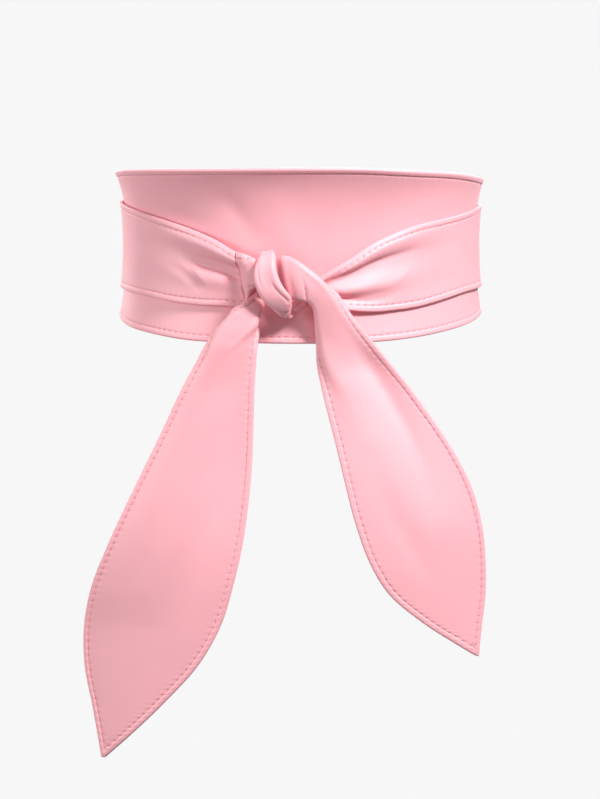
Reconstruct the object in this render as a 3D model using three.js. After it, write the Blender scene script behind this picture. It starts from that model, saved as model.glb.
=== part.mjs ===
// A satin sash: a wide waist panel with a long tie sewn to each end. The ties cross behind the waist,
// come round over the panel and meet in a half knot in front, where they hang as two leaf-shaped tails.
// Millimetres, +Z up. The front faces -Y and the origin is the middle of the hollow for the waist.
import * as THREE from "three";

// Driving dimensions
const WAIST_HALF_WIDTH = 120;
const WAIST_HALF_DEPTH = 91;
const CLOTH = 2; // two turned faces of satin with a stay between them
const LAYER_GAP = 0.7; // air between the panel and a tie that lies on it
const SEAM_GAP = 0.3; // between two pieces sewn end to end
const RIM = 5; // cloth taken up by the bend where an edge is tucked under
const FULLY_BENT = 90; // degrees from which an edge counts as folded under
const FLAT_TURN = 0.001; // radians under which an edge counts as flat

// The panel stands away from the waist towards both of its edges
const FLARE_TOP = 6.7;
const FLARE_TOP_AT = 50;
const FLARE_BOTTOM = 6.5;
const FLARE_BOTTOM_AT = 55;

// Lifts are measured from a tie that lies on the panel, so a tie on the bare waist has this one
const ON_WAIST = -(CLOTH + LAYER_GAP);

// Shares of a strip's width: its tucked edge and its rim on each side, with the face between them
const TUCK_SHARE = 0.16;
const RIM_SHARE = 0.12;
const SIDE_SHARE = TUCK_SHARE + RIM_SHARE;

// Where a strip's section has its points, as shares of the width
const FOLDED_ACROSS = [
  0, 0.08, 0.16, 0.2, 0.24, 0.28, 0.35, 0.43, 0.5, 0.57, 0.65, 0.72, 0.76, 0.8, 0.84, 0.92, 1,
];
const WRAP_ACROSS = [0, 0.07, 0.14, 0.24, 0.34, 0.47, 0.6, 0.69, 0.78, 0.89, 1];
const PANEL_ACROSS = [0, 0.08, 0.22, 0.37, 0.5, 0.63, 0.78, 0.92, 1];

// A wrap's lifts are given at these shares of its width, from the top edge to the bottom edge
const LIFT_AT = [0, 0.14, 0.34, 0.6, 0.78, 1];

// How far along a strand, in rows, its length is measured to leave the gap at a seam
const TRIM_STEP = 0.02;

// Turns rows of numbers into objects with the named columns; a missing last number is zero
function table(columns, rows) {
  return rows.map((row) => Object.fromEntries(columns.map((name, i) => [name, row[i] ?? 0])));
}

// The panel, round the waist from its left end to its right end, seen from the front.
// The right end is narrowed towards its top edge, the left end towards its middle.
const PANEL = table(
  ["angle", "top", "bottom"],
  [
    [-150, 22, -23],
    [-140, 30, -31],
    [-128, 40, -40],
    [-110, 47, -45.5],
    [-90, 51.5, -48],
    [-72, 55, -52.4],
    [-54, 57.3, -54.8],
    [-36, 59.2, -57],
    [-18, 60.6, -57],
    [0, 61.3, -57],
    [18, 60.8, -57],
    [36, 58, -55.4],
    [54, 54.9, -52.3],
    [70, 50.8, -49.5],
    [90, 46.6, -46.2],
    [110, 44, -43.5],
    [126, 43.5, -34],
    [138, 43.5, -16],
    [150, 43.5, 0.5],
  ],
);

// The left wrap behind the waist: it starts at the panel's right end and comes round outside
const LEFT_WRAP_BEHIND = table(
  ["angle", "top", "bottom", "lift"],
  [
    [150, 43.5, 0.5, ON_WAIST],
    [158, 43, 0.3, ON_WAIST / 2],
    [166, 42, -1.5, 0],
    [180, 38, -9.5, 0],
    [194, 34.5, -17.5, 0],
    [208, 32, -23.5, 0],
    [224, 31, -27, 0],
    [242, 31, -28, 0],
    [260, 31, -28.5, 0],
    [277, 31, -28.6, 0],
  ],
);

// The left wrap in front, with its folds; lean is how much further round its bottom edge is
const LEFT_WRAP_FRONT = table(
  ["angle", "lean", "top", "bottom", "edge", "ridge", "trough", "swell", "hollow", "hem"],
  [
    [292, 0, 29, -29.2, 0, 0, 0, 0, 0, 0],
    [304, 0, 26.2, -30, 0, 0.4, 0, 0.2, 0, 0],
    [316, 0, 22, -32, 0.2, 1.6, 0.1, 1, 0.3, 0],
    [327, 0, 16.3, -33, 1.2, 3.9, 0.4, 2.6, 1.2, 0],
    [333.5, 1.5, 11.5, -32.8, 2.8, 6, 0.8, 3.2, 1.6, 0.3],
    [340.2, 3, 4.8, -32.3, 5.6, 7.4, 3, 3, 1.6, 0.8],
  ],
);

// The right wrap behind the waist: it starts at the panel's left end and passes inside the other
const RIGHT_WRAP_BEHIND = table(
  ["angle", "top", "bottom", "lift"],
  [
    [210, 22, -23, ON_WAIST],
    [200, 16, -29, ON_WAIST],
    [188, 7, -36.5, ON_WAIST],
    [176, -0.5, -43, ON_WAIST],
    [165, -4, -46, ON_WAIST],
    [156, -4, -46, ON_WAIST / 2],
    [147, -1, -45, 0],
    [136, 9, -42, 0],
    [122, 20, -36, 0],
    [106, 25.8, -30.6, 0],
    [90, 28.9, -28.3, 0],
    [77, 28.4, -27.8, 0],
  ],
);

// The right wrap in front, with its folds
const RIGHT_WRAP_FRONT = table(
  ["angle", "lean", "top", "bottom", "edge", "ridge", "trough", "swell", "hollow", "hem"],
  [
    [63, 0, 26, -28.4, 0, 0, 0, 0, 0, 0],
    [50, 0, 23.6, -31.4, 0, 0.5, 0, 0.3, 0, 0],
    [39, 0, 20.7, -34.6, 0.2, 1.6, 0, 1, 0.4, 0],
    [30, 0, 15.7, -36, 0.8, 3, 0.1, 2.3, 0.9, 0.2],
    [22.5, 0, 9.6, -36.5, 1.8, 4.6, 0.4, 3.4, 0.8, 0.9],
    [15.5, 0, 0.6, -35.3, 3.4, 6, 1.4, 4.2, 1, 2],
    [8.5, 0, -7.8, -33.4, 5, 6.4, 3.4, 4.4, 2.6, 3.6],
  ],
);

// Strips that hang or knot clear of the body. Each row gives the two rims of the face: across, up,
// and out from the panel's front. roll turns the face up and over (90 faces up, -90 faces down),
// fold and tuck say how far each edge is bent behind it, and how much of it lies there. bow and
// wave swell the face.
const STRIP_COLUMNS = [
  "x0", "z0", "out0", "x1", "z1", "out1", "roll", "fold0", "tuck0", "fold1", "tuck1", "bow", "wave",
];

// The left strand behind and beside the knot, and then the right tail; rim 0 is its upper edge
const RIGHT_TAIL = table(STRIP_COLUMNS, [
  [-38.3, 3.2, 9.8, -34.7, -25.5, 6.3, 0, 40, 4, 15, 3, 0.6],
  [-33.4, 1.8, 11.2, -31.2, -19, 10, 0, 110, 4, 80, 1.5, 0.8],
  [-28.8, -0.4, 12, -27.6, -17.6, 11.8, 0, 160, 5, 140, 2.5, 0.8],
  [-23.5, -2.2, 12.6, -22, -19.2, 12.6, 0, 165, 5, 170, 6, 0.5],
  [-17.5, -1.4, 13.8, -15, -22.5, 13.8, 0, 165, 5, 170, 7, 0.5],
  [-11, 3.2, 15.6, -7.5, -24.8, 17, 0, 165, 6, 170, 8, 1.8],
  [-3, 0.8, 19, -2.6, -26.6, 19.5, 0, 165, 6, 170, 8, 2.5],
  [5, -5, 20, 2.4, -27.2, 20, 0, 160, 6, 170, 8, 2],
  [13, -11.4, 20, 5.6, -28.4, 19.5, 0, 130, 5, 160, 7, 1.5],
  [22, -20.8, 19, 7.8, -32.6, 18.4, 0, 70, 4, 125, 6, 1],
  [34, -36.6, 16.5, 9.2, -43, 16.2, 0, 30, 4, 95, 5, 1],
  [46.6, -52.7, 14, 11, -56, 14.8, 0, 10, 4, 75, 4, 0.5],
  [61.2, -70.8, 10.5, 11.6, -70.1, 15.5, 0, 0, 0, 50, 5, 0, -1],
  [72.1, -84.6, 9, 14, -83.6, 17, 0, 0, 0, 28, 6, 1, -1.5],
  [82.1, -98.2, 8.2, 16.7, -96.8, 18.5, 0, 0, 0, 10, 8, 2, -1.5],
  [100.7, -125.7, 7.5, 23.2, -123.3, 22, 0, 0, 0, 0, 0, 3.5, -1.5],
  [114.8, -153.2, 6.5, 29.6, -149.7, 26, 0, 0, 0, 0, 0, 4.5, -1],
  [122.6, -181, 5.5, 36.6, -176.3, 29, 0, 0, 0, 0, 0, 5],
  [125.2, -208.3, 5, 46.6, -203.5, 29.5, 0, 0, 0, 0, 0, 4],
  [125.2, -229, 5, 59.4, -224.5, 27, 0, 0, 0, 0, 0, 3],
  [123.2, -247, 5.8, 82, -244.8, 21.5, 0, 0, 0, 0, 0, 1.5],
  [121.6, -262.6, 6.6, 105, -261.2, 14, 0, 0, 0, 0, 0, 0.5],
  [121, -271.2, 7, 118.6, -270.6, 8, 0, 0, 0, 0, 0, 0],
]);

// The right strand's turn round the other one; rim 0 is its left edge
const KNOT_LOOP = table(STRIP_COLUMNS, [
  [-3.4, -25, 8.6, 0.4, -34.2, 8.4, 190],
  [-9.8, -32.4, 9.4, -3.4, -37, 9, 215, 10, 1, 10, 1],
  [-14, -35.8, 13.6, -7.2, -38.4, 13.4, -95, 30, 1, 30, 1],
  [-18.8, -32.7, 19.2, -6.6, -33, 19, -40, 100, 1.5, 100, 1.5, 0.5],
  [-25.4, -26, 22.8, -6.2, -25, 23.2, -5, 165, 6, 172, 6, 0.8],
  [-29.6, -18.7, 23.5, -11.2, -18.2, 24.5, 0, 165, 5.2, 172, 5.2, 0.8],
  [-31.5, -12, 23, -14.6, -11.3, 24.2, 2, 165, 4.8, 172, 4.8, 0.8],
  [-31.2, -4.4, 21.3, -16.6, -3.6, 22.6, 14, 160, 4, 165, 3.5, 0.5],
  [-29.4, 1.6, 17.6, -16.8, 2.8, 18.6, 42, 120, 3, 120, 3],
  [-27.2, 4.6, 11.2, -18, 5.8, 11.6, 90, 40, 2, 40, 2],
  [-28.2, 1.8, 5.2, -19, 2.4, 5.4, 150, 0, 0, 0, 0],
  [-30.6, -6.1, 3.2, -21.4, -6.1, 3.2, 180, 0, 0, 0, 0],
]);

// The left tail, from its hidden start behind the knot; rim 0 is its left edge
const LEFT_TAIL = table(STRIP_COLUMNS, [
  [-30.6, -6.1, 3.2, -21.4, -6.1, 3.2, 0, 0, 0, 0, 0],
  [-30.4, -15, 2.4, -22.6, -16.5, 2.4, 0, 0, 0, 10, 2],
  [-31.4, -22.8, 4.8, -24.2, -24.6, 4.8, 0, 10, 2, 50, 2],
  [-38.8, -28.8, 11.4, -24.4, -31, 10, 0, 15, 3, 140, 5, 0.5],
  [-45.4, -33.4, 12.8, -26.6, -36.8, 14, 0, 60, 4, 160, 7, 1],
  [-51, -40, 13.2, -28.4, -42.6, 15.6, 0, 95, 4, 105, 7, 1],
  [-57.2, -47.8, 13.2, -29.2, -49.4, 16.6, 0, 80, 4, 60, 7, 1.2, 0.5],
  [-64, -57.4, 12.6, -29.6, -58, 16.6, 0, 50, 4, 28, 8, 1.5, 1],
  [-71.5, -71, 10.8, -30.2, -70.2, 16, 0, 20, 4, 10, 10, 1.5, 1.5],
  [-78.9, -84.7, 9.2, -30.8, -83.6, 16, 0, 0, 0, 0, 0, 1.5, 2],
  [-91.7, -112, 8.5, -31.7, -110.1, 19.2, 0, 0, 0, 0, 0, 1.5, 3],
  [-104.8, -139.2, 8, -32.8, -136.6, 23.2, 0, 0, 0, 0, 0, 1.5, 3.4],
  [-118.3, -167, 6.5, -35.3, -163, 27, 0, 0, 0, 0, 0, 2.5, 3],
  [-131.2, -195.2, 3, -39.2, -189.8, 29.6, 0, 0, 0, 0, 0, 3.5, 2],
  [-142.6, -224.2, -3, -45.3, -217.1, 30, 0, 0, 0, 0, 0, 4.5, 1],
  [-148.3, -252.8, -8, -53.6, -244.8, 28, 0, 0, 0, 0, 0, 5],
  [-148.2, -280.8, -8.5, -69, -273.1, 24.5, 0, 0, 0, 0, 0, 4],
  [-143, -308.3, -5.5, -94.2, -302.6, 17.5, 0, 0, 0, 0, 0, 2],
  [-139.3, -329, -3, -117, -326.4, 9, 0, 0, 0, 0, 0, 0.6],
  [-136.8, -344.2, -1.5, -134, -343.4, 0, 0, 0, 0, 0, 0, 0],
]);

// Where the right wrap ends, out of sight behind the knot, and the loop goes on
const HIDDEN_JOIN = table(STRIP_COLUMNS, [[3.2, -17.6, 8.4, 4.4, -31.4, 8.2]])[0];

const { clamp, degToRad, lerp, smoothstep } = THREE.MathUtils;

function flare(z) {
  const up = Math.max(0, z / FLARE_TOP_AT);
  const down = Math.max(0, -z / FLARE_BOTTOM_AT);
  return FLARE_TOP * up ** 3 + FLARE_BOTTOM * down ** 2;
}

// A point at an angle round the waist from the front, at a height, and out from the bare waist
function onWaist(angle, z, out) {
  const turn = degToRad(angle);
  const reach = out + flare(z);
  return new THREE.Vector3(
    (WAIST_HALF_WIDTH + reach) * Math.sin(turn),
    -(WAIST_HALF_DEPTH + reach) * Math.cos(turn),
    z,
  );
}

// A smooth curve through values at rising places, without overshoot
function smoothValue(places, values, at) {
  const last = places.length - 1;
  const slope = (i) => (values[i + 1] - values[i]) / (places[i + 1] - places[i]);
  const tangent = (i) => {
    if (i === 0) return slope(0);
    if (i === last) return slope(last - 1);
    const before = slope(i - 1);
    const after = slope(i);
    return before * after <= 0 ? 0 : (2 * before * after) / (before + after);
  };
  const i = clamp(places.findLastIndex((place) => place <= at), 0, last - 1);
  const span = places[i + 1] - places[i];
  const t = clamp((at - places[i]) / span, 0, 1);
  const stay = (1 + 2 * t) * (1 - t) ** 2;
  const leave = t * (1 - t) ** 2 * span;
  const arrive = t * t * (t - 1) * span;
  return stay * values[i] + (1 - stay) * values[i + 1] + leave * tangent(i) + arrive * tangent(i + 1);
}

// Sections are functions from a share of the width to a point on the cloth's middle surface
function panelSection({ angle, top, bottom }) {
  return (v) => onWaist(angle, lerp(top, bottom, v), CLOTH / 2);
}

function wrapSection(row) {
  const { angle, lean = 0, top, bottom, lift, edge, ridge, trough, swell, hollow, hem } = row;
  const lifts = [edge, ridge, trough, swell, hollow, hem];
  return (v) => {
    const rise = lift ?? smoothValue(LIFT_AT, lifts, v);
    return onWaist(angle + lean * v, lerp(top, bottom, v), CLOTH + LAYER_GAP + CLOTH / 2 + rise);
  };
}

// One side of a strip beyond its face: along is the way on across, behind is the way back.
// The rim bends through the fold, and the tuck goes straight on from it.
function side(fold, tuck, width) {
  const turn = degToRad(fold);
  const folded = smoothstep(fold, 0, FULLY_BENT);
  const rim = lerp(RIM_SHARE * width, RIM, folded);
  const rest = lerp(TUCK_SHARE * width, tuck, folded);
  const bend = (length) => {
    if (turn < FLAT_TURN) return { along: length, behind: 0 };
    const radius = rim / turn;
    const angle = length / radius;
    return { along: radius * Math.sin(angle), behind: radius * (1 - Math.cos(angle)) };
  };
  const corner = bend(rim);
  const at = (share) => {
    const onRim = share * (SIDE_SHARE / RIM_SHARE);
    if (onRim <= 1) return bend(onRim * rim);
    const onTuck = ((share * SIDE_SHARE - RIM_SHARE) / TUCK_SHARE) * rest;
    return {
      along: corner.along + onTuck * Math.cos(turn),
      behind: corner.behind + onTuck * Math.sin(turn),
    };
  };
  const reach = fold >= FULLY_BENT ? rim / turn + CLOTH / 2 : at(1).along;
  return { at, reach };
}

function stripSection(row) {
  const front = -(WAIST_HALF_DEPTH + CLOTH);
  const start = new THREE.Vector3(row.x0, front - row.out0, row.z0);
  const end = new THREE.Vector3(row.x1, front - row.out1, row.z1);
  const width = start.distanceTo(end);
  const across = end.clone().sub(start).normalize();
  const facing = new THREE.Vector3(0, -1, 0).addScaledVector(across, across.y).normalize();
  facing.applyAxisAngle(across, -degToRad(row.roll));
  const first = side(row.fold0, row.tuck0, width);
  const second = side(row.fold1, row.tuck1, width);
  const face = Math.max(1, width - first.reach - second.reach);
  const place = (v) => {
    if (v < SIDE_SHARE) {
      const { along, behind } = first.at(1 - v / SIDE_SHARE);
      return [first.reach - along, -behind];
    }
    if (v > 1 - SIDE_SHARE) {
      const { along, behind } = second.at((v - 1 + SIDE_SHARE) / SIDE_SHARE);
      return [first.reach + face + along, -behind];
    }
    return [first.reach + (face * (v - SIDE_SHARE)) / (1 - 2 * SIDE_SHARE), 0];
  };
  return (v) => {
    const [along, forward] = place(v);
    const share = clamp(along / width, 0, 1);
    const swell = row.bow * 4 * share * (1 - share) + row.wave * Math.sin(2 * Math.PI * share);
    return start
      .clone()
      .addScaledVector(across, along)
      .addScaledVector(facing, forward + swell);
  };
}

// The cloth's middle surface between two of its sections: rows of points, each with the way along
function cloth(sections, { from = 0, to = sections.length - 1, perRow, across }) {
  const runs = across.map(
    (v) => new THREE.CatmullRomCurve3(sections.map((section) => section(v)), false, "centripetal"),
  );
  const last = sections.length - 1;
  const middle = runs[Math.floor(runs.length / 2)];
  const trim = (place, way) => {
    const near = middle.getPoint(place / last);
    const far = middle.getPoint((place + way * TRIM_STEP) / last);
    return place + (way * TRIM_STEP * (SEAM_GAP / 2)) / near.distanceTo(far);
  };
  const first = trim(from, 1);
  const final = trim(to, -1);
  const stations = Math.round((to - from) * perRow);
  return Array.from({ length: stations + 1 }, (_, i) => {
    const place = lerp(first, final, i / stations) / last;
    return runs.map((run) => ({ point: run.getPoint(place), along: run.getTangent(place) }));
  });
}

// Gives a surface of points the cloth's thickness, half of it to each side, and closes its edges
function wall(grid) {
  const rows = grid.length;
  const columns = grid[0].length;
  const positions = [];
  for (const way of [1, -1]) {
    for (let i = 0; i < rows; i++) {
      for (let j = 0; j < columns; j++) {
        const { point, along } = grid[i][j];
        const before = grid[i][Math.max(j - 1, 0)].point;
        const after = grid[i][Math.min(j + 1, columns - 1)].point;
        const normal = after.clone().sub(before).cross(along).normalize();
        positions.push(...point.clone().addScaledVector(normal, (way * CLOTH) / 2));
      }
    }
  }
  const at = (way, i, j) => way * rows * columns + i * columns + j;
  const faces = [];
  const quad = (a, b, c, d) => faces.push(a, b, c, a, c, d);
  for (let i = 0; i < rows - 1; i++) {
    for (let j = 0; j < columns - 1; j++) {
      quad(at(0, i, j), at(0, i, j + 1), at(0, i + 1, j + 1), at(0, i + 1, j));
      quad(at(1, i, j), at(1, i + 1, j), at(1, i + 1, j + 1), at(1, i, j + 1));
    }
    quad(at(0, i, 0), at(0, i + 1, 0), at(1, i + 1, 0), at(1, i, 0));
    quad(at(0, i, columns - 1), at(1, i, columns - 1), at(1, i + 1, columns - 1), at(0, i + 1, columns - 1));
  }
  for (let j = 0; j < columns - 1; j++) {
    quad(at(0, 0, j), at(1, 0, j), at(1, 0, j + 1), at(0, 0, j + 1));
    quad(at(0, rows - 1, j), at(0, rows - 1, j + 1), at(1, rows - 1, j + 1), at(1, rows - 1, j));
  }
  const geometry = new THREE.BufferGeometry();
  geometry.setAttribute("position", new THREE.Float32BufferAttribute(positions, 3));
  geometry.setIndex(faces);
  geometry.computeVertexNormals();
  return geometry;
}

const sash = new THREE.Group();
sash.name = "satin_sash";

function piece(name, colour, grid) {
  const satin = new THREE.MeshStandardMaterial({ color: colour, roughness: 0.42, metalness: 0 });
  const mesh = new THREE.Mesh(wall(grid), satin);
  mesh.name = name;
  sash.add(mesh);
}

// The panel
piece("waist_panel", 0xf7c0c8, cloth(PANEL.map(panelSection), { perRow: 2, across: PANEL_ACROSS }));

// The left strand: the left wrap as far as its sewn end beside the knot, then the right tail
const leftStrand = [
  ...LEFT_WRAP_BEHIND.map(wrapSection),
  ...LEFT_WRAP_FRONT.map(wrapSection),
  ...RIGHT_TAIL.map(stripSection),
];
const leftSeam = LEFT_WRAP_BEHIND.length + LEFT_WRAP_FRONT.length - 1;
piece("left_wrap", 0xf2aab6, cloth(leftStrand, { to: leftSeam, perRow: 3, across: WRAP_ACROSS }));
piece("right_tail", 0xfac8cd, cloth(leftStrand, { from: leftSeam, perRow: 2, across: FOLDED_ACROSS }));

// The right strand: the right wrap as far as the knot, its loop, and the left tail
const rightWrap = [...RIGHT_WRAP_BEHIND.map(wrapSection), ...RIGHT_WRAP_FRONT.map(wrapSection)];
rightWrap.push(stripSection(HIDDEN_JOIN));
piece("right_wrap", 0xf9c6cc, cloth(rightWrap, { perRow: 2.5, across: WRAP_ACROSS }));
const loop = [stripSection({ ...HIDDEN_JOIN, roll: 180 }), ...KNOT_LOOP.map(stripSection)];
piece("knot_loop", 0xee9fae, cloth(loop, { perRow: 2.5, across: FOLDED_ACROSS }));
piece("left_tail", 0xf0a5b1, cloth(LEFT_TAIL.map(stripSection), { perRow: 2, across: FOLDED_ACROSS }));

export default sash;
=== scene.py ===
# The looks of a satin sash: its cut pieces as fine shells of cloth, with rolled edges and top
# stitching, round the hollow of a waist, and a plain studio. Sizes and places of the cloth are in
# millimetres, and its angles in degrees.
import math

import bmesh
import bpy
import numpy as np
from mathutils import Matrix, Vector


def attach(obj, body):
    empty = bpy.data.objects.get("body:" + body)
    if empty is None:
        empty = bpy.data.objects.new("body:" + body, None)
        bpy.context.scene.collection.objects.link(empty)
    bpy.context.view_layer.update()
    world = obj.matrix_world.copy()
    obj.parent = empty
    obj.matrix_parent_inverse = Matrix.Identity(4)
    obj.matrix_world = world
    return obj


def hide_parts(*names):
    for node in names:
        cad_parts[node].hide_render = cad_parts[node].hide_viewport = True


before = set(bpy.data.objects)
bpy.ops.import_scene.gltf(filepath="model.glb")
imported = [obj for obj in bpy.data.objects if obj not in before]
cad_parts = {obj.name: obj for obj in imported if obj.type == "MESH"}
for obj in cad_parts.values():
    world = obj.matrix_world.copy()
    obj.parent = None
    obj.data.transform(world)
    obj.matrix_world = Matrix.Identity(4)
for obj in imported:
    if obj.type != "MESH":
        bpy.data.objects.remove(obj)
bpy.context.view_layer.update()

MM = 0.001

# The waist, and how the cloth flares out above and below it
WAIST_HALF_WIDTH = 120
WAIST_HALF_DEPTH = 91
FLARE_TOP = 6.7
FLARE_TOP_AT = 50
FLARE_BOTTOM = 6.5
FLARE_BOTTOM_AT = 55

# The cloth and its layers
CLOTH = 2
LAYER_GAP = 0.7
SEAM_GAP = 0.3
ON_WAIST = -(CLOTH + LAYER_GAP)

# The sides of a strip: past a quarter turn they have their own rim and tuck, and a flat strip
# gives them a share of its width instead. A side that turns less than STRAIGHT radians lies flat.
RIM = 5
RIM_SHARE = 0.12
TUCK_SHARE = 0.16
SIDE_SHARE = RIM_SHARE + TUCK_SHARE
QUARTER_TURN = 90
STRAIGHT = 1e-3
LEAST_FACE = 1

# The top stitching. A stitch points from the place STITCH_AIM before its middle to the one after
# it, and a line of stitches stops where it drifts from its distance in from the edge.
STITCH_IN = 4.3
STITCH_PITCH = 5
STITCH_LENGTH = 3.6
STITCH_WIDTH = 0.48
STITCH_HEIGHT = 0.34
STITCH_SIDES = 8
STITCH_RINGS = 5
STITCH_AIM = 1
STITCH_DRIFT = 0.3

# The rolled edge, from the edge inwards, and the marks where its columns and end rows lie
EDGE_ROUND = 1.3
BEAD_HEIGHT = 0.35
BEAD_HEIGHT_BEHIND = BEAD_HEIGHT / 3
BEAD_WIDTH = 3.4
BEAD_FADE = 0.8
GROOVE_DEPTH = 0.26
GROOVE_WIDTH = 0.6
EDGE_MARKS = np.array(
    [0, 0.1, 0.3, 0.6, 1, 1.5, 2.1, 2.7, 3.2, 3.6, 3.95, STITCH_IN, 4.65, 5, 5.5, 6.2, 7.2]
)
EDGE_SHARE = 0.48
END_MARKS = np.array([0, 0.1, 0.3, 0.6, 1, 1.6])
WELD = 1e-7

# How finely the cloth is traced, and how far apart its rows and columns then lie
TRACED_ACROSS = np.linspace(0, 1, 321)
TRACED_PER_ROW = 40
CREASE_STEPS = 6
SLANT_ROWS = 4
LEAST_SLANT = 0.35
PANEL_STEP = 2.2
WRAP_STEP = 1.4
TAIL_STEP = 1.2
LOOP_STEP = 0.5
COLUMN = 1.8
PANEL_COLUMN = 2.2
LOOP_COLUMN = 0.6


def table(columns, rows):
    """A list of rows by their columns' names; what a row leaves out at its end is 0."""
    names = columns.split()
    return [dict(zip(names, row + (0,) * (len(names) - len(row)))) for row in rows]


# The panel round the waist, from its left end to its right end, seen from the front
PANEL = table("angle top bottom", [
    (-150, 22, -23),
    (-140, 30, -31),
    (-128, 40, -40),
    (-110, 47, -45.5),
    (-90, 51.5, -48),
    (-72, 55, -52.4),
    (-54, 57.3, -54.8),
    (-36, 59.2, -57),
    (-18, 60.6, -57),
    (0, 61.3, -57),
    (18, 60.8, -57),
    (36, 58, -55.4),
    (54, 54.9, -52.3),
    (70, 50.8, -49.5),
    (90, 46.6, -46.2),
    (110, 44, -43.5),
    (126, 43.5, -34),
    (138, 43.5, -16),
    (150, 43.5, 0.5),
])

# How far a wrap's front stands off the panel, at shares of its width from its top edge
LIFT_COLUMNS = "edge ridge trough swell hollow hem"
LIFT_AT = [0, 0.14, 0.34, 0.6, 0.78, 1]
WRAP_COLUMNS = "angle lean top bottom " + LIFT_COLUMNS

# The left wrap: it starts at the panel's right end and comes round outside
LEFT_WRAP_BEHIND = table("angle top bottom lift", [
    (150, 43.5, 0.5, ON_WAIST),
    (158, 43, 0.3, ON_WAIST / 2),
    (166, 42, -1.5, 0),
    (180, 38, -9.5, 0),
    (194, 34.5, -17.5, 0),
    (208, 32, -23.5, 0),
    (224, 31, -27, 0),
    (242, 31, -28, 0),
    (260, 31, -28.5, 0),
    (277, 31, -28.6, 0),
])
LEFT_WRAP_FRONT = table(WRAP_COLUMNS, [
    (292, 0, 29, -29.2),
    (304, 0, 26.2, -30, 0, 0.4, 0, 0.2),
    (316, 0, 22, -32, 0.2, 1.6, 0.1, 1, 0.3),
    (327, 0, 16.3, -33, 1.2, 3.9, 0.4, 2.6, 1.2),
    (333.5, 1.5, 11.5, -32.8, 2.8, 6, 0.8, 3.2, 1.6, 0.3),
    (340.2, 3, 4.8, -32.3, 5.6, 7.4, 3, 3, 1.6, 0.8),
])

# The right wrap: it starts at the panel's left end and passes inside the other
RIGHT_WRAP_BEHIND = table("angle top bottom lift", [
    (210, 22, -23, ON_WAIST),
    (200, 16, -29, ON_WAIST),
    (188, 7, -36.5, ON_WAIST),
    (176, -0.5, -43, ON_WAIST),
    (165, -4, -46, ON_WAIST),
    (156, -4, -46, ON_WAIST / 2),
    (147, -1, -45, 0),
    (136, 9, -42, 0),
    (122, 20, -36, 0),
    (106, 25.8, -30.6, 0),
    (90, 28.9, -28.3, 0),
    (77, 28.4, -27.8, 0),
])
RIGHT_WRAP_FRONT = table(WRAP_COLUMNS, [
    (63, 0, 26, -28.4),
    (50, 0, 23.6, -31.4, 0, 0.5, 0, 0.3),
    (39, 0, 20.7, -34.6, 0.2, 1.6, 0, 1, 0.4),
    (30, 0, 15.7, -36, 0.8, 3, 0.1, 2.3, 0.9, 0.2),
    (22.5, 0, 9.6, -36.5, 1.8, 4.6, 0.4, 3.4, 0.8, 0.9),
    (15.5, 0, 0.6, -35.3, 3.4, 6, 1.4, 4.2, 1, 2),
    (8.5, 0, -7.8, -33.4, 5, 6.4, 3.4, 4.4, 2.6, 3.6),
])

# A strip's row goes from its rim 0 to its rim 1: each one's place and how far it is out from the
# waist's front, its turn about the row, how each side folds back and how far it is tucked in, and
# how its face bows and waves
STRIP_COLUMNS = "x0 z0 out0 x1 z1 out1 roll fold0 tuck0 fold1 tuck1 bow wave"

# The left strand behind and beside the knot, and then the right tail; rim 0 is its upper edge
RIGHT_TAIL = table(STRIP_COLUMNS, [
    (-38.3, 3.2, 9.8, -34.7, -25.5, 6.3, 0, 40, 4, 15, 3, 0.6),
    (-33.4, 1.8, 11.2, -31.2, -19, 10, 0, 110, 4, 80, 1.5, 0.8),
    (-28.8, -0.4, 12, -27.6, -17.6, 11.8, 0, 160, 5, 140, 2.5, 0.8),
    (-23.5, -2.2, 12.6, -22, -19.2, 12.6, 0, 165, 5, 170, 6, 0.5),
    (-17.5, -1.4, 13.8, -15, -22.5, 13.8, 0, 165, 5, 170, 7, 0.5),
    (-11, 3.2, 15.6, -7.5, -24.8, 17, 0, 165, 6, 170, 8, 1.8),
    (-3, 0.8, 19, -2.6, -26.6, 19.5, 0, 165, 6, 170, 8, 2.5),
    (5, -5, 20, 2.4, -27.2, 20, 0, 160, 6, 170, 8, 2),
    (13, -11.4, 20, 5.6, -28.4, 19.5, 0, 130, 5, 160, 7, 1.5),
    (22, -20.8, 19, 7.8, -32.6, 18.4, 0, 70, 4, 125, 6, 1),
    (34, -36.6, 16.5, 9.2, -43, 16.2, 0, 30, 4, 95, 5, 1),
    (46.6, -52.7, 14, 11, -56, 14.8, 0, 10, 4, 75, 4, 0.5),
    (61.2, -70.8, 10.5, 11.6, -70.1, 15.5, 0, 0, 0, 50, 5, 0, -1),
    (72.1, -84.6, 9, 14, -83.6, 17, 0, 0, 0, 28, 6, 1, -1.5),
    (82.1, -98.2, 8.2, 16.7, -96.8, 18.5, 0, 0, 0, 10, 8, 2, -1.5),
    (100.7, -125.7, 7.5, 23.2, -123.3, 22, 0, 0, 0, 0, 0, 3.5, -1.5),
    (114.8, -153.2, 6.5, 29.6, -149.7, 26, 0, 0, 0, 0, 0, 4.5, -1),
    (122.6, -181, 5.5, 36.6, -176.3, 29, 0, 0, 0, 0, 0, 5),
    (125.2, -208.3, 5, 46.6, -203.5, 29.5, 0, 0, 0, 0, 0, 4),
    (125.2, -229, 5, 59.4, -224.5, 27, 0, 0, 0, 0, 0, 3),
    (123.2, -247, 5.8, 82, -244.8, 21.5, 0, 0, 0, 0, 0, 1.5),
    (121.6, -262.6, 6.6, 105, -261.2, 14, 0, 0, 0, 0, 0, 0.5),
    (121, -271.2, 7, 118.6, -270.6, 8),
])

# Where the right wrap ends, out of sight behind the knot, and the loop goes on
HIDDEN_JOIN = table(STRIP_COLUMNS, [(3.2, -17.6, 8.4, 4.4, -31.4, 8.2)])

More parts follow.
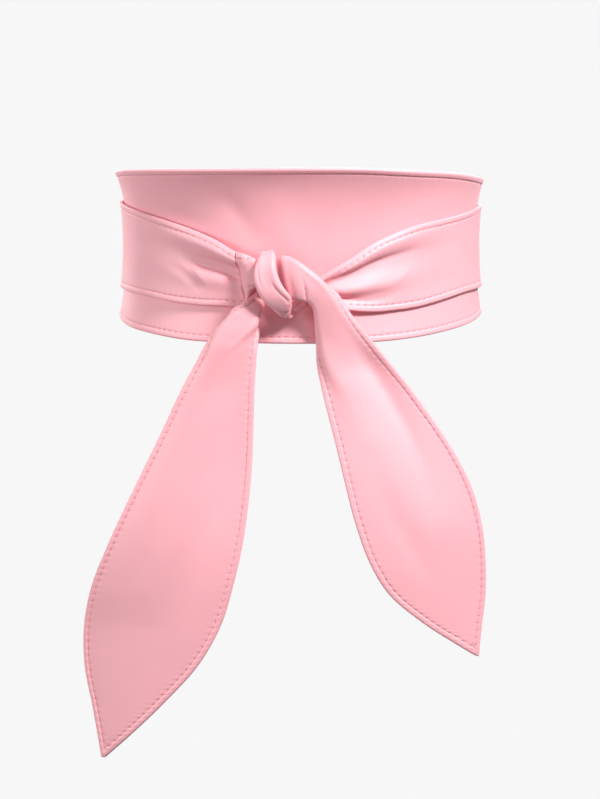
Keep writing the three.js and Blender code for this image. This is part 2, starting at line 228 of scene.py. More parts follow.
# The right strand's turn round the other one; rim 0 is its left edge
KNOT_LOOP = table(STRIP_COLUMNS, [
    (-3.4, -25, 8.6, 0.4, -34.2, 8.4, 190),
    (-9.8, -32.4, 9.4, -3.4, -37, 9, 215, 10, 1, 10, 1),
    (-14, -35.8, 13.6, -7.2, -38.4, 13.4, -95, 30, 1, 30, 1),
    (-18.8, -32.7, 19.2, -6.6, -33, 19, -40, 100, 1.5, 100, 1.5, 0.5),
    (-25.4, -26, 22.8, -6.2, -25, 23.2, -5, 165, 6, 172, 6, 0.8),
    (-29.6, -18.7, 23.5, -11.2, -18.2, 24.5, 0, 165, 5.2, 172, 5.2, 0.8),
    (-31.5, -12, 23, -14.6, -11.3, 24.2, 2, 165, 4.8, 172, 4.8, 0.8),
    (-31.2, -4.4, 21.3, -16.6, -3.6, 22.6, 14, 160, 4, 165, 3.5, 0.5),
    (-29.4, 1.6, 17.6, -16.8, 2.8, 18.6, 42, 120, 3, 120, 3),
    (-27.2, 4.6, 11.2, -18, 5.8, 11.6, 90, 40, 2, 40, 2),
    (-28.2, 1.8, 5.2, -19, 2.4, 5.4, 150),
    (-30.6, -6.1, 3.2, -21.4, -6.1, 3.2, 180),
])

# The left tail, from its hidden start behind the knot; rim 0 is its left edge
LEFT_TAIL = table(STRIP_COLUMNS, [
    (-30.6, -6.1, 3.2, -21.4, -6.1, 3.2),
    (-30.4, -15, 2.4, -22.6, -16.5, 2.4, 0, 0, 0, 10, 2),
    (-31.4, -22.8, 4.8, -24.2, -24.6, 4.8, 0, 10, 2, 50, 2),
    (-38.8, -28.8, 11.4, -24.4, -31, 10, 0, 15, 3, 140, 5, 0.5),
    (-45.4, -33.4, 12.8, -26.6, -36.8, 14, 0, 60, 4, 160, 7, 1),
    (-51, -40, 13.2, -28.4, -42.6, 15.6, 0, 95, 4, 105, 7, 1),
    (-57.2, -47.8, 13.2, -29.2, -49.4, 16.6, 0, 80, 4, 60, 7, 1.2, 0.5),
    (-64, -57.4, 12.6, -29.6, -58, 16.6, 0, 50, 4, 28, 8, 1.5, 1),
    (-71.5, -71, 10.8, -30.2, -70.2, 16, 0, 20, 4, 10, 10, 1.5, 1.5),
    (-78.9, -84.7, 9.2, -30.8, -83.6, 16, 0, 0, 0, 0, 0, 1.5, 2),
    (-91.7, -112, 8.5, -31.7, -110.1, 19.2, 0, 0, 0, 0, 0, 1.5, 3),
    (-104.8, -139.2, 8, -32.8, -136.6, 23.2, 0, 0, 0, 0, 0, 1.5, 3.4),
    (-118.3, -167, 6.5, -35.3, -163, 27, 0, 0, 0, 0, 0, 2.5, 3),
    (-131.2, -195.2, 3, -39.2, -189.8, 29.6, 0, 0, 0, 0, 0, 3.5, 2),
    (-142.6, -224.2, -3, -45.3, -217.1, 30, 0, 0, 0, 0, 0, 4.5, 1),
    (-148.3, -252.8, -8, -53.6, -244.8, 28, 0, 0, 0, 0, 0, 5),
    (-148.2, -280.8, -8.5, -69, -273.1, 24.5, 0, 0, 0, 0, 0, 4),
    (-143, -308.3, -5.5, -94.2, -302.6, 17.5, 0, 0, 0, 0, 0, 2),
    (-139.3, -329, -3, -117, -326.4, 9, 0, 0, 0, 0, 0, 0.6),
    (-136.8, -344.2, -1.5, -134, -343.4, 0),
])


# Creases. Each has a width, and then points: how many rows along, what share of the width across,
# and how far the cloth stands proud there.
PANEL_CREASES = [
    (7.5, (8.25, 0.46, -0.2), (8.05, 0.36, -1), (7.8, 0.24, -1.1), (7.55, 0.13, 0)),
    (9, (8.8, 0.5, 0.2), (8.7, 0.4, 0.8), (8.6, 0.27, 0.7), (8.5, 0.12, 0)),
    (6, (9.3, 0.56, -0.3), (9.35, 0.46, -0.7), (9.45, 0.34, -0.4), (9.6, 0.22, 0)),
    (10, (5.4, 0.2, 0), (6.1, 0.26, -0.9), (6.9, 0.34, -0.8), (7.4, 0.4, 0)),
    (12, (10.2, 0.5, 0), (10.9, 0.36, 0.7), (11.7, 0.24, 0.8), (12.6, 0.2, 0)),
]
LEFT_WRAP_CREASES = [
    (2.8, (12.3, 0.42, 0), (12.9, 0.45, -1.7), (13.5, 0.47, -2.4),
     (14.3, 0.49, -2.2), (15, 0.52, -1.5)),
    (3, (12.3, 0.3, 0), (13.2, 0.27, 0.7), (14.2, 0.23, 0.9), (15, 0.2, 0.6)),
    (1.6, (12.5, 0.4, 0.1), (12.75, 0.48, 0.6), (13.1, 0.6, 0.6), (13.4, 0.7, 0)),
    (3.6, (11.8, 0.54, 0), (12.4, 0.6, -0.7), (12.95, 0.72, -0.8), (13.2, 0.8, 0)),
    (5, (9, 0.3, 0), (10.4, 0.4, -0.3), (11.6, 0.36, 0)),
    (6, (4, 0.7, 0), (5.5, 0.55, -0.5), (7.5, 0.5, 0)),
    (5, (1.5, 0.35, 0), (2.6, 0.45, 0.6), (4, 0.4, 0)),
]
RIGHT_WRAP_CREASES = [
    (2.2, (18.2, 0.24, -0.6), (17.3, 0.27, -1), (16, 0.29, -1.3),
     (14.9, 0.29, -0.9), (13.7, 0.28, 0)),
    (3, (18, 0.1, 0), (16.5, 0.12, 0.4), (15, 0.11, 0.4), (13.6, 0.12, 0)),
    (2.6, (17.8, 0.56, 0.2), (16.9, 0.62, 0.6), (15.9, 0.65, 0.5), (15, 0.64, 0.5), (14, 0.44, 0)),
    (2.3, (18, 0.64, -1.2), (17.3, 0.77, -1.8), (16.6, 0.83, -1),
     (15.6, 0.83, -0.5), (14.6, 0.74, 0)),
    (6, (3, 0.6, 0), (4.6, 0.45, 0.5), (6.4, 0.5, 0)),
    (5, (8.6, 0.5, 0), (9.8, 0.42, -0.3), (11, 0.45, 0)),
]
KNOT_LOOP_CREASES = [
    (1.7, (9, 0.67, 0.3), (8.1, 0.69, 0.7), (7.1, 0.68, 1), (6.4, 0.69, 1.1),
     (5.7, 0.71, 0.9), (5, 0.73, 0)),
    (1.1, (6.7, 0.6, 0), (6.2, 0.62, -0.9), (5.7, 0.64, -1.3), (5.1, 0.67, -1.1), (4.6, 0.71, 0)),
    (3.2, (9, 0.46, -0.2), (7.7, 0.48, -0.6), (6.7, 0.48, -0.6), (5.8, 0.46, 0)),
    (0.9, (9, 0.3, -0.1), (7.7, 0.33, -0.7), (6.7, 0.34, -0.6), (6, 0.33, 0)),
    (0.7, (3.85, 0.36, 0), (3.9, 0.5, -0.6), (3.93, 0.69, 0)),
]
RIGHT_TAIL_CREASES = [
    (2.8, (20.7, 0.1, 0.4), (20.85, 0.3, 1.2), (20.95, 0.5, 1.5),
     (21.1, 0.7, 1.2), (21.2, 0.9, 0.4)),
    (0.8, (21.06, 0.18, 0), (21.06, 0.21, -0.4), (21.06, 0.24, 0)),
    (1.3, (22.4, 0.36, 0), (22.7, 0.46, -0.7), (22.95, 0.56, -1.4), (23.1, 0.66, -1.6)),
    (2.2, (21.6, 0.22, 0), (22.7, 0.26, 0.5), (24, 0.26, 0.5), (25.6, 0.16, 0)),
    (7.5, (25.2, 0.2, 0), (26.7, 0.25, -1.2), (28, 0.28, -1.8), (30, 0.3, -1.7),
     (31.6, 0.33, -0.9), (33, 0.36, 0)),
    (9, (31, 0.7, 0), (32.4, 0.72, -0.9), (33.6, 0.6, -0.9), (34.8, 0.5, 0)),
]
LEFT_TAIL_CREASES = [
    (2.4, (4.2, 0.66, 0), (4.9, 0.7, 0.7), (5.7, 0.71, 0.8), (6.7, 0.61, 0.5), (7.4, 0.45, 0)),
    (7, (6.6, 0.4, 0), (9.1, 0.36, -1), (10.1, 0.33, -1.4), (11.2, 0.33, -1.2), (13, 0.4, 0)),
    (15, (6.5, 0.7, 0), (8, 0.68, 1.4), (9.4, 0.62, 2.4), (11, 0.58, 2.8),
     (13, 0.54, 2), (15, 0.48, 0)),
]


def blend(a, b, t):
    return a + (b - a) * t


def ease(t):
    t = np.clip(t, 0, 1)
    return t * t * (3 - 2 * t)


def bell(distance, width):
    return np.exp(-((distance / width) ** 2))


def unit(vectors):
    return vectors / np.linalg.norm(vectors, axis=-1, keepdims=True)


def flare(z):
    up = np.maximum(0, z / FLARE_TOP_AT)
    down = np.maximum(0, -z / FLARE_BOTTOM_AT)
    return FLARE_TOP * up**3 + FLARE_BOTTOM * down**2


def on_waist(angle, z, out):
    """Points at angles round the waist from the front, at heights, and out from the bare waist."""
    turn = np.radians(angle)
    reach = out + flare(z)
    x = (WAIST_HALF_WIDTH + reach) * np.sin(turn)
    y = -(WAIST_HALF_DEPTH + reach) * np.cos(turn)
    return np.stack([x, y, z + 0 * turn], axis=-1)


def smooth_value(places, values, at):
    """A smooth curve through values at rising places, without overshoot."""
    places, values = np.array(places, float), np.array(values, float)
    slopes = np.diff(values) / np.diff(places)
    before, after = slopes[:-1], slopes[1:]
    same = before * after > 0
    middle = np.where(same, 2 * before * after / np.where(same, before + after, 1), 0)
    tangents = np.concatenate([slopes[:1], middle, slopes[-1:]])
    i = np.clip(np.searchsorted(places, at, side="right") - 1, 0, len(places) - 2)
    span = places[i + 1] - places[i]
    t = np.clip((at - places[i]) / span, 0, 1)
    stay = (1 + 2 * t) * (1 - t) ** 2
    leave = t * (1 - t) ** 2 * span * tangents[i]
    arrive = t * t * (t - 1) * span * tangents[i + 1]
    return stay * values[i] + (1 - stay) * values[i + 1] + leave + arrive


# A section is a function from shares of the width to points on the cloth's middle surface
def panel_section(row):
    return lambda v: on_waist(row["angle"] + 0 * v, blend(row["top"], row["bottom"], v), CLOTH / 2)


def wrap_section(row):
    on_panel = CLOTH + LAYER_GAP + CLOTH / 2

    def section(v):
        if "lift" in row:
            rise = row["lift"]
        else:
            rise = smooth_value(LIFT_AT, [row[name] for name in LIFT_COLUMNS.split()], v)
        angle = row["angle"] + row.get("lean", 0) * v
        return on_waist(angle, blend(row["top"], row["bottom"], v), on_panel + rise)

    return section


def side(fold, tuck, width):
    """One side of a strip beyond its face: how far a share of it lies along and behind the face."""
    turn = math.radians(fold)
    folded = ease(fold / QUARTER_TURN)
    rim = blend(RIM_SHARE * width, RIM, folded)
    rest = blend(TUCK_SHARE * width, tuck, folded)

    def bend(length):
        if turn < STRAIGHT:
            return length, 0 * length
        radius = rim / turn
        return radius * np.sin(length / radius), radius * (1 - np.cos(length / radius))

    def at(share):
        along, behind = bend(np.minimum(share * SIDE_SHARE / RIM_SHARE, 1) * rim)
        beyond = np.maximum(0, (share * SIDE_SHARE - RIM_SHARE) / TUCK_SHARE) * rest
        return along + beyond * math.cos(turn), behind + beyond * math.sin(turn)

    reach = rim / turn + CLOTH / 2 if fold >= QUARTER_TURN else at(1)[0]
    return at, reach


def strip_section(row):
    front = -(WAIST_HALF_DEPTH + CLOTH)
    start = np.array([row["x0"], front - row["out0"], row["z0"]])
    end = np.array([row["x1"], front - row["out1"], row["z1"]])
    width = np.linalg.norm(end - start)
    across = (end - start) / width
    level = unit(np.array([0, -1, 0]) + across * across[1])
    roll = -math.radians(row["roll"])
    facing = level * math.cos(roll) + np.cross(across, level) * math.sin(roll)
    first, first_reach = side(row["fold0"], row["tuck0"], width)
    second, second_reach = side(row["fold1"], row["tuck1"], width)
    face = max(LEAST_FACE, width - first_reach - second_reach)

    def section(v):
        before = first(np.clip(1 - v / SIDE_SHARE, 0, 1))
        after = second(np.clip((v - 1 + SIDE_SHARE) / SIDE_SHARE, 0, 1))
        on_face = np.clip((v - SIDE_SHARE) / (1 - 2 * SIDE_SHARE), 0, 1) * face
        along = first_reach + on_face - before[0] + after[0]
        share = np.clip(along / width, 0, 1)
        swell = row["bow"] * 4 * share * (1 - share) + row["wave"] * np.sin(2 * np.pi * share)
        forward = swell - before[1] - after[1]
        return start + along[:, None] * across + forward[:, None] * facing

    return section


def run_through(points, places):
    """Smooth curves through rows of points, at places counted in rows."""
    ends = 2 * points[0] - points[1], 2 * points[-1] - points[-2]
    line = np.concatenate([ends[0][None], points, ends[1][None]])
    i = np.clip(np.floor(places).astype(int), 0, len(points) - 2)
    t = (places - i)[:, None, None]
    p0, p1, p2, p3 = (line[i + k] for k in range(4))
    d0, d1, d2 = (
        np.sqrt(np.linalg.norm(b - a, axis=-1, keepdims=True))
        for a, b in ((p0, p1), (p1, p2), (p2, p3))
    )
    leave = ((p1 - p0) / d0 - (p2 - p0) / (d0 + d1) + (p2 - p1) / d1) * d1
    arrive = ((p2 - p1) / d1 - (p3 - p1) / (d1 + d2) + (p3 - p2) / d2) * d1
    square = -3 * p1 + 3 * p2 - 2 * leave - arrive
    cube = 2 * p1 - 2 * p2 + leave + arrive
    return p1 + leave * t + square * t**2 + cube * t**3


def lengths(points):
    """How far along each point of a line lies from its start."""
    steps = np.linalg.norm(np.diff(points, axis=0), axis=-1)
    return np.concatenate([[0], np.cumsum(steps)])


class Cloth:
    """A stretch of cloth between two of its sections: a fine grid of points on its middle surface.

    Its front is 1 where its normals point out of its face, and -1 where they point out of its back.
    """

    def __init__(self, sections, front, step, creases, first=0, last=None, column=COLUMN):
        last = len(sections) - 1 if last is None else last
        self.front = front
        rows = np.stack([section(TRACED_ACROSS) for section in sections])
        self.place_rows(rows, first, last, step)
        self.place_columns(run_through(rows, self.places), column)
        self.normals = self.facing()
        self.crease(creases)

    def place_rows(self, rows, first, last, step):
        """Even rows along the middle line, closer together towards the two sewn or pointed ends."""
        fine = np.linspace(first, last, round((last - first) * TRACED_PER_ROW) + 1)
        middle = len(TRACED_ACROSS) // 2
        line = run_through(rows[:, middle : middle + 1], fine)
        self.run = lengths(line[:, 0])
        self.fine = fine
        start, end = SEAM_GAP / 2, self.run[-1] - SEAM_GAP / 2
        inner = np.linspace(start + END_MARKS[-1], end - END_MARKS[-1], round((end - start) / step))
        self.marks = np.concatenate([start + END_MARKS[:-1], inner, end - END_MARKS[-2::-1]])
        self.places = np.interp(self.marks, self.run, fine)
        self.from_end = np.minimum(self.marks - start, end - self.marks)

    def place_columns(self, traced, column):
        """Columns at fixed distances in from both edges, and even ones between them."""
        steps = np.linalg.norm(np.diff(traced, axis=1), axis=-1)
        arcs = np.concatenate([np.zeros((len(traced), 1)), np.cumsum(steps, axis=1)], axis=1)
        self.width = arcs[:, -1]
        slants = [
            self.slant(traced[:, 0], traced[:, 1]),
            self.slant(traced[:, -1], traced[:, -2]),
        ]
        zone = EDGE_MARKS[-1]
        scales = [np.minimum(1 / slant, EDGE_SHARE * self.width / zone) for slant in slants]
        count = max(2, round(float(self.width.max() - 2 * zone) / column))
        share = np.linspace(0, 1, count + 1)[1:-1]
        low = scales[0] * zone
        high = self.width - scales[1] * zone
        self.across = np.concatenate(
            [
                scales[0][:, None] * EDGE_MARKS,
                low[:, None] + (high - low)[:, None] * share,
                self.width[:, None] - scales[1][:, None] * EDGE_MARKS[::-1],
            ],
            axis=1,
        )
        self.points = np.stack(
            [
                np.stack([np.interp(a, arc, row[:, k]) for k in range(3)], axis=-1)
                for a, arc, row in zip(self.across, arcs, traced)
            ]
        )
        from_first = self.across * slants[0][:, None]
        from_second = (self.width[:, None] - self.across) * slants[1][:, None]
        self.from_edge = np.minimum(from_first, from_second)
        self.nearer_first = from_first < from_second

    def slant(self, edge, inside):
        """How square the rows meet an edge, from 0 to 1, evened out along it."""
        along = unit(np.gradient(edge, axis=0))
        inwards = unit(inside - edge)
        sine = np.linalg.norm(np.cross(along, inwards), axis=-1)
        rows = 2 * SLANT_ROWS + 1
        padded = np.pad(sine, SLANT_ROWS, mode="edge")
        near = np.convolve(padded, np.ones(rows) / rows, mode="valid")
        return np.clip(near, LEAST_SLANT, 1)

    def facing(self):
        """The way that the cloth faces at each of its points."""
        across = np.gradient(self.points, axis=1)
        along = np.gradient(self.points, axis=0)
        return unit(np.cross(across, along))

    def crease(self, creases):
        """Soft troughs and ridges: each has a width, and a line of places, shares and heights."""
        x = self.marks[:, None]
        y = self.across - self.width[:, None] / 2
        rise = np.zeros_like(self.across)
        for width, *line in creases:
            places, shares, heights = np.array(line, float).T
            along = np.interp(places, self.fine, self.run)
            beside = (shares - 0.5) * np.interp(along, self.marks, self.width)
            corners = np.stack([along, beside, heights], axis=-1)[:, None]
            steps = np.linspace(0, len(line) - 1, (len(line) - 1) * CREASE_STEPS + 1)
            curve = run_through(corners, steps)[:, 0]
            nearest = np.full_like(rise, np.inf)
            height = np.zeros_like(rise)
            for start, end in zip(curve, curve[1:]):
                dx, dy, dh = end - start
                beyond = (x - start[0]) * dx + (y - start[1]) * dy
                t = np.clip(beyond / (dx * dx + dy * dy), 0, 1)
                off = np.hypot(x - start[0] - t * dx, y - start[1] - t * dy)
                height = np.where(off < nearest, start[2] + t * dh, height)
                nearest = np.minimum(nearest, off)
            rise += height * bell(nearest, width)
        self.points = self.points + self.front * rise[..., None] * self.normals
        self.normals = self.facing()

    def half_thickness(self, bead):
        """Half the cloth's thickness, with its rolled edges, and rounded to nothing at its rims."""
        edge = self.from_edge
        roll = 1 - np.clip(edge / EDGE_ROUND, 0, 1)
        end = 1 - np.clip(self.from_end / EDGE_ROUND, 0, 1)[:, None]
        raised = bead * ease((BEAD_WIDTH + BEAD_FADE / 2 - edge) / BEAD_FADE)
        sunk = GROOVE_DEPTH * bell(edge - STITCH_IN, GROOVE_WIDTH)
        return (CLOTH / 2 + raised - sunk) * np.sqrt((1 - roll**2) * (1 - end**2))

    def stitch_lines(self):
        """The columns that the top stitching follows, each with its rows before the edges meet."""
        column = int(np.argmin(np.abs(EDGE_MARKS - STITCH_IN)))
        lines = []
        for j in (column, self.across.shape[1] - 1 - column):
            wide = np.nonzero(np.abs(self.from_edge[:, j] - STITCH_IN) < STITCH_DRIFT)[0]
            lines.append((j, wide[0], wide[-1]))
        return lines


def stitch_phases(cloth):
    """How many stitches its nearer line of stitching has run past each point of a cloth."""
    columns = cloth.across.shape[1]
    phases = np.zeros(cloth.across.shape)
    for j, _, _ in cloth.stitch_lines():
        run = lengths(cloth.points[:, j])
        half = cloth.nearer_first if j < columns // 2 else ~cloth.nearer_first
        phases = np.where(half, run[:, None] / STITCH_PITCH, phases)
    return phases


def shell(name, cloth):
    """A closed shell of cloth, with the bead of its rolled edges higher on its face.

    Each point knows its lay, which is how far it lies along and across the cloth, and its seam:
    how many stitches lie before it, and how far in from the edge it is.
    """
    bead = {cloth.front: BEAD_HEIGHT, -cloth.front: BEAD_HEIGHT_BEHIND}
    rows, columns = cloth.across.shape
    bm = bmesh.new()
    lay = bm.verts.layers.float_vector.new("lay")
    seam = bm.verts.layers.float_vector.new("seam")
    phases = stitch_phases(cloth)
    for way in (1, -1):
        points = cloth.points + way * cloth.half_thickness(bead[way])[..., None] * cloth.normals
        made = bmesh.ops.create_grid(bm, x_segments=columns - 1, y_segments=rows - 1, size=1)
        spots = zip(
            made["verts"],
            points.reshape(-1, 3) * MM,
            np.repeat(cloth.marks, columns),
            cloth.across.ravel(),
            phases.ravel(),
            cloth.from_edge.ravel(),
        )
        for vert, point, along, across, phase, edge in spots:
            vert.co = point
            vert[lay] = (along, across, 0)
            vert[seam] = (phase, edge, 0)
    bmesh.ops.remove_doubles(bm, verts=bm.verts, dist=WELD)
    bmesh.ops.recalc_face_normals(bm, faces=bm.faces)
    return finished(name, bm)


def placed(name, data):
    """An object of that name in the scene, from its mesh, light or camera."""
    thing = bpy.data.objects.new(name, data)
    bpy.context.scene.collection.objects.link(thing)
    return thing


def finished(name, bm):
    """A piece of the sash, smooth and on its body."""
    for face in bm.faces:
        face.smooth = True
    mesh = bpy.data.meshes.new(name)
    bm.to_mesh(mesh)
    bm.free()
    piece = placed(name, mesh)
    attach(piece, "root")
    return piece


def stitches(name, lines):
    """Thread lying in short stitches along lines of points, each with the way off the cloth."""
    one = bmesh.new()
    size = Matrix.Diagonal((STITCH_LENGTH / 2, STITCH_WIDTH / 2, STITCH_HEIGHT / 2, 1))
    sides, rings = STITCH_SIDES, STITCH_RINGS
    bmesh.ops.create_uvsphere(one, u_segments=sides, v_segments=rings, radius=1, matrix=size)
    single = bpy.data.meshes.new("stitch")
    one.to_mesh(single)
    one.free()
    bm = bmesh.new()
    for points, normals in lines:
        run = lengths(points)
        middles = (np.arange(int(run[-1] // STITCH_PITCH)) + 0.5) * STITCH_PITCH
        at, before, after, out = (
            np.stack([np.interp(places, run, values[:, n]) for n in range(3)], axis=-1)
            for places, values in (
                (middles, points),
                (middles - STITCH_AIM, points),
                (middles + STITCH_AIM, points),
                (middles, normals),
            )
        )
        along = unit(after - before)
        beside = unit(np.cross(out, along))
        up = np.cross(along, beside)
        for axes in zip(along, beside, up, at):
            turn = Matrix(np.stack(axes, axis=1).tolist()).to_4x4()
            turn.col[3] = (*axes[3], 1)
            laid = single.copy()
            laid.transform(Matrix.Scale(MM, 4) @ turn)
            bm.from_mesh(laid)
            bpy.data.meshes.remove(laid)
    bpy.data.meshes.remove(single)
    return finished(name, bm)


def top_stitching(name, cloth):
    """The stitches along both edges of a cloth, on both its sides."""
    lines = []
    for way in (1, -1):
        surface = cloth.points + way * cloth.half_thickness(BEAD_HEIGHT)[..., None] * cloth.normals
        for j, start, end in cloth.stitch_lines():
            lines.append((surface[start:end, j], way * cloth.normals[start:end, j]))
    return stitches(name, lines)


class Value:
    """A number in a material; arithmetic on it adds the nodes that work it out."""

    def __init__(self, nodes, socket):
        self.nodes = nodes
        self.socket = socket

    def maths(self, operation, *others):
        sockets = dict(enumerate((self, *others)))
        return self.nodes.node("ShaderNodeMath", {"operation": operation}, sockets)

    def __add__(self, other):
        return self.maths("ADD", other)

    def __radd__(self, other):
        return self.maths("ADD", other)

    def __sub__(self, other):
        return self.maths("SUBTRACT", other)

    def __rsub__(self, other):
        return (self * -1) + other

    def __mul__(self, other):
        return self.maths("MULTIPLY", other)

    def __rmul__(self, other):
        return self.maths("MULTIPLY", other)


class Nodes:
    """The nodes of a material or of the world."""

    def __init__(self, owner):
        owner.use_nodes = True
        self.tree = owner.node_tree

    def node(self, kind, settings={}, sockets={}, output=0):
        """Any node, with its settings set first, and one of its outputs as a value."""
        made = self.tree.nodes.new(kind)
        for name, value in settings.items():
            setattr(made, name, value)
        for name, value in sockets.items():
            self.feed(made.inputs[name], value)
        return Value(self, made.outputs[output])

    def feed(self, socket, value):
        if isinstance(value, Value):
            self.tree.links.new(value.socket, socket)
        else:
            socket.default_value = value

    def part(self, vector, index):
        return self.node("ShaderNodeSeparateXYZ", {}, {0: vector}, index)

    def attribute(self, name):
        return self.node("ShaderNodeAttribute", {"attribute_name": name}, {}, "Vector")

    def noise(self, vector, detail, scale=1):
        sockets = {"Vector": vector, "Scale": scale, "Detail": detail}
        return self.node("ShaderNodeTexNoise", {}, sockets)

    def scaled(self, vector, scale):
        return self.node("ShaderNodeVectorMath", {"operation": "MULTIPLY"}, {0: vector, 1: scale})

    def mix(self, factor, a, b):
        settings = {"data_type": "RGBA"}
        return self.node("ShaderNodeMix", settings, {0: factor, 6: a, 7: b}, 2)

    def smooth_range(self, value, low, high, at_low, at_high):
        """A value eased from one number at its low end to another at its high end."""
        sockets = {
            "Value": value,
            "From Min": low,
            "From Max": high,
            "To Min": at_low,
            "To Max": at_high,
        }
        return self.node("ShaderNodeMapRange", {"interpolation_type": "SMOOTHSTEP"}, sockets)

    def bump(self, height, distance):
        return self.node("ShaderNodeBump", {}, {"Height": height, "Distance": distance})


class Finish(Nodes):
    """A material: its shader, and what is the same all over it."""

    def __init__(self, name, constants):
        self.material = bpy.data.materials.new(name)
        super().__init__(self.material)
        self.shader = self.tree.nodes["Principled BSDF"]
        for socket, value in constants.items():
            self.surface(socket, value)

    def surface(self, name, value):
        self.feed(self.shader.inputs[name], value)


def linear(red, green, blue):
    """A colour from its screen values, 0 to 255."""

    def one(value):
        share = value / 255
        return share / 12.92 if share <= 0.04045 else ((share + 0.055) / 1.055) ** 2.4

    return (one(red), one(green), one(blue), 1)


# The satin's colours, the painted shade of its needle holes, and its gloss
SATIN_LIGHT = linear(246, 176, 186)
SATIN_DEEP = linear(241, 166, 177)
# Painted shade: the colour each needle hole is darkened towards, standing in for the shade in its
# dimple
PAINTED_HOLE_SHADE_COLOUR = linear(214, 124, 138)
SATIN_GLOSS = {
    "Specular IOR Level": 0.8,
    "Sheen Weight": 0.25,
    "Sheen Roughness": 0.4,
    "Sheen Tint": linear(255, 225, 228),
}
SATIN_ROUGH = 0.52
STREAK_ROUGH = 0.06
MOTTLE_ROUGH = 0.04

# How often the cloth's fine forms repeat, along and across it in each millimetre
MOTTLE = (0.012, 0.02, 0)
STREAK = (0.06, 1.6, 0)
WEAVE = (0.9, 5, 0)

# The needle holes and the cloth drawn up between them: sizes, depths, and how far painted shade
# darkens a hole
HOLE_NARROWED = 1.6
HOLE_FLOOR = 0.2
HOLE_RIM = 1.0
PAINTED_HOLE_SHADE_SHARE = 0.45
HOLE_DEPTH = 0.3
PUCKER_REACH = 5
PUCKER_HEIGHT = 0.06
WEAVE_HEIGHT = 0.03
STREAK_HEIGHT = 0.03

THREAD_LIGHT = linear(245, 175, 185)
THREAD_DEEP = linear(236, 160, 171)
THREAD_ROUGH = 0.5
TWIST_PER_METRE = 2500
TWIST_HEIGHT = 0.0003

BACKDROP = linear(247, 247, 247)


def needle_holes(finish, phase, off_line):
    """1 in each needle hole, a stitch apart along the stitching, and 0 between them."""
    to_middle = (phase.maths("FRACT") - 0.5).maths("ABSOLUTE")
    off_hole = (to_middle - 0.5).maths("ABSOLUTE") * STITCH_PITCH
    off = (off_line * off_line * HOLE_NARROWED + off_hole * off_hole).maths("SQRT")
    return 1 - finish.smooth_range(off, HOLE_FLOOR, HOLE_RIM, 0, 1)


def satin():
    finish = Finish("satin", SATIN_GLOSS)
    lay = finish.attribute("lay")
    seam = finish.attribute("seam")
    phase = finish.part(seam, 0)
    off_line = (finish.part(seam, 1) - STITCH_IN).maths("ABSOLUTE")
    hole = needle_holes(finish, phase, off_line)
    near_line = finish.smooth_range(off_line, 0, PUCKER_REACH, 1, 0)
    pucker = (phase * (2 * math.pi)).maths("COSINE") * near_line

    mottle = finish.noise(finish.scaled(lay, MOTTLE), 3)
    streak = finish.noise(finish.scaled(lay, STREAK), 2)
    weave = finish.noise(finish.scaled(lay, WEAVE), 1)
    colour = finish.mix(mottle, SATIN_DEEP, SATIN_LIGHT)
    # Painted shade: the colour is darkened towards the hole-shade colour in each needle hole
    finish.surface("Base Color", finish.mix(hole * PAINTED_HOLE_SHADE_SHARE, colour, PAINTED_HOLE_SHADE_COLOUR))
    finish.surface("Roughness", SATIN_ROUGH + STREAK_ROUGH * streak + MOTTLE_ROUGH * mottle)
    raised = weave * WEAVE_HEIGHT + streak * STREAK_HEIGHT
    sunk = hole * HOLE_DEPTH + pucker * PUCKER_HEIGHT
    finish.surface("Normal", finish.bump(raised - sunk, MM))
    return finish.material


def thread():
    finish = Finish("thread", {"Roughness": THREAD_ROUGH})
    place = finish.node("ShaderNodeTexCoord", {}, {}, "Object")
    twist = finish.noise(place, 2, TWIST_PER_METRE)
    finish.surface("Base Color", finish.mix(twist, THREAD_DEEP, THREAD_LIGHT))
    finish.surface("Normal", finish.bump(twist, TWIST_HEIGHT))
    return finish.material


def pale_backdrop():
    """It glows evenly and takes no light, so that the sash casts no shadow on it."""
    constants = {
        "Base Color": (0, 0, 0, 1),
        "Roughness": 1,
        "Specular IOR Level": 0,
        "Emission Color": BACKDROP,
        "Emission Strength": 1,
    }
    return Finish("pale_backdrop", constants).material


def sewn_pieces():
    """The cloth of each piece. A wrap and what it is sewn to are cut from one run of sections."""
    left_wrap = [wrap_section(row) for row in LEFT_WRAP_BEHIND + LEFT_WRAP_FRONT]
    left_strand = left_wrap + [strip_section(row) for row in RIGHT_TAIL]
    seam = len(left_wrap) - 1
    right_wrap = [wrap_section(row) for row in RIGHT_WRAP_BEHIND + RIGHT_WRAP_FRONT]
    right_wrap.append(strip_section(HIDDEN_JOIN[0]))
    loop = [strip_section({**HIDDEN_JOIN[0], "roll": 180})]
    loop += [strip_section(row) for row in KNOT_LOOP]
    panel = [panel_section(row) for row in PANEL]
    left_tail = [strip_section(row) for row in LEFT_TAIL]
    return {
        "waist_panel": Cloth(panel, 1, PANEL_STEP, PANEL_CREASES, column=PANEL_COLUMN),
        "left_wrap": Cloth(left_strand, 1, WRAP_STEP, LEFT_WRAP_CREASES, last=seam),
        "right_tail": Cloth(left_strand, 1, TAIL_STEP, RIGHT_TAIL_CREASES, first=seam),
        "right_wrap": Cloth(right_wrap, -1, WRAP_STEP, RIGHT_WRAP_CREASES),
        "knot_loop": Cloth(loop, 1, LOOP_STEP, KNOT_LOOP_CREASES, column=LOOP_COLUMN),
        "left_tail": Cloth(left_tail, -1, TAIL_STEP, LEFT_TAIL_CREASES),
    }


def dress(materials):
    """Each piece as a shell of cloth with its stitches; no stitching shows on the knot's loop."""
    for name, cloth in sewn_pieces().items():
        piece = shell(name + "_cloth", cloth)
        piece.data.materials.append(materials["satin"])
        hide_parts(name)
        if name != "knot_loop":
            sewing = top_stitching(name + "_stitching", cloth)
            sewing.data.materials.append(materials["thread"])
        length = float(lengths(cloth.points[:, cloth.points.shape[1] // 2])[-1])
        area = float(np.sum((cloth.width[1:] + cloth.width[:-1]) / 2 * np.diff(cloth.marks)))


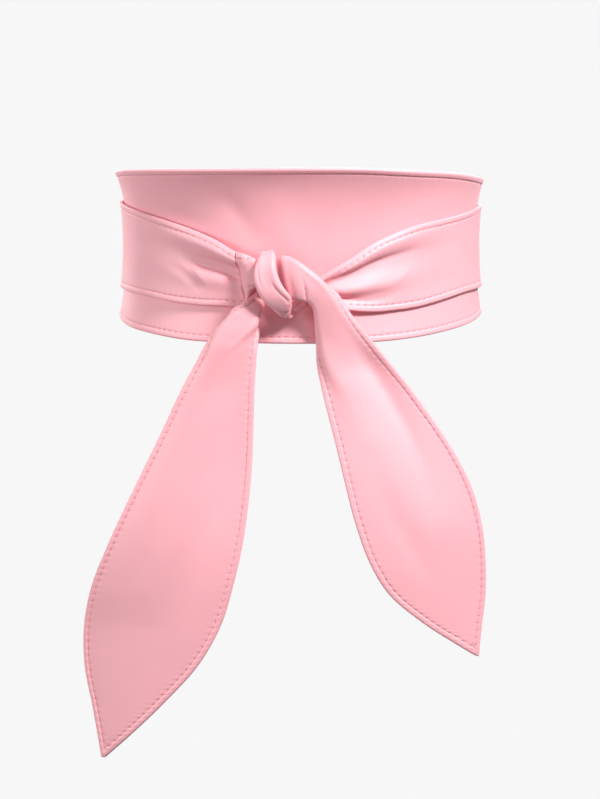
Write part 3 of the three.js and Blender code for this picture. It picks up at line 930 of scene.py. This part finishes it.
# The studio, in metres. Each lamp has its turn to the right of the front, its height in degrees,
# its width and its watts.
LAMPS = [
    ("key", 42, 44, 0.55, 84),
    ("left", -66, 8, 0.9, 27),
    ("behind", 172, 35, 0.9, 52),
    ("behind_left", -140, 12, 0.9, 22),
]
LAMPS_AIM = Vector((0, 0, -0.08))
LAMPS_AWAY = 2.4
LAMPS_COLOUR = (1, 0.985, 0.962)
SKY_MIDDLE = 0.24
SKY_UP = 0.04
SKY_MIRRORED = 0.85
FLOOR_SIZE = 30
FLOOR_AT = (0, 0, -1)
CAMERA_LENS = 142.1
CAMERA_SHIFT = -0.00125
CAMERA_AT = Vector((0, -2.2, 0.208))
CAMERA_AIM = Vector((0, 0, -0.109))


def lay_floor():
    bm = bmesh.new()
    bmesh.ops.create_grid(bm, x_segments=1, y_segments=1, size=FLOOR_SIZE)
    bmesh.ops.translate(bm, verts=bm.verts, vec=FLOOR_AT)
    mesh = bpy.data.meshes.new("floor")
    bm.to_mesh(mesh)
    bm.free()
    mesh.materials.append(pale_backdrop())
    floor = placed("floor", mesh)
    floor.visible_diffuse = False
    floor.visible_glossy = False


def light_sky():
    """An even soft light, brighter where the cloth mirrors it, and pale where the camera sees it."""
    world = bpy.data.worlds.new("studio")
    bpy.context.scene.world = world
    sky = Nodes(world)
    way = sky.node("ShaderNodeTexCoord", {}, {}, "Generated")
    seen = sky.node("ShaderNodeLightPath", {}, {}, "Is Camera Ray")
    mirrored = sky.node("ShaderNodeLightPath", {}, {}, "Is Glossy Ray")
    glow = SKY_MIDDLE + SKY_UP * sky.part(way, 2) + SKY_MIRRORED * mirrored
    background = sky.tree.nodes["Background"]
    sky.feed(background.inputs["Color"], BACKDROP)
    sky.feed(background.inputs["Strength"], glow + seen * (1 - glow))


def hang_lamps():
    for name, azimuth, height, size, power in LAMPS:
        light = bpy.data.lights.new(name, "AREA")
        light.shape = "DISK"
        light.size = size
        light.energy = power
        light.color = LAMPS_COLOUR
        round_it = Matrix.Rotation(math.radians(azimuth), 3, "Z")
        up = Matrix.Rotation(math.radians(-height), 3, "X")
        way = round_it @ up @ Vector((0, -1, 0))
        lamp = placed(name, light)
        lamp.location = LAMPS_AIM + LAMPS_AWAY * way
        lamp.rotation_mode = "QUATERNION"
        lamp.rotation_quaternion = way.to_track_quat("Z", "Y")


def place_camera():
    data = bpy.data.cameras.new("camera")
    data.lens = CAMERA_LENS
    data.shift_x = CAMERA_SHIFT
    camera = placed("camera", data)
    camera.location = CAMERA_AT
    camera.rotation_mode = "QUATERNION"
    camera.rotation_quaternion = (CAMERA_AIM - CAMERA_AT).to_track_quat("-Z", "Y")
    bpy.context.scene.camera = camera


def studio():
    bpy.context.scene.view_settings.view_transform = "Standard"
    lay_floor()
    light_sky()
    hang_lamps()
    place_camera()


dress({"satin": satin(), "thread": thread()})
studio()
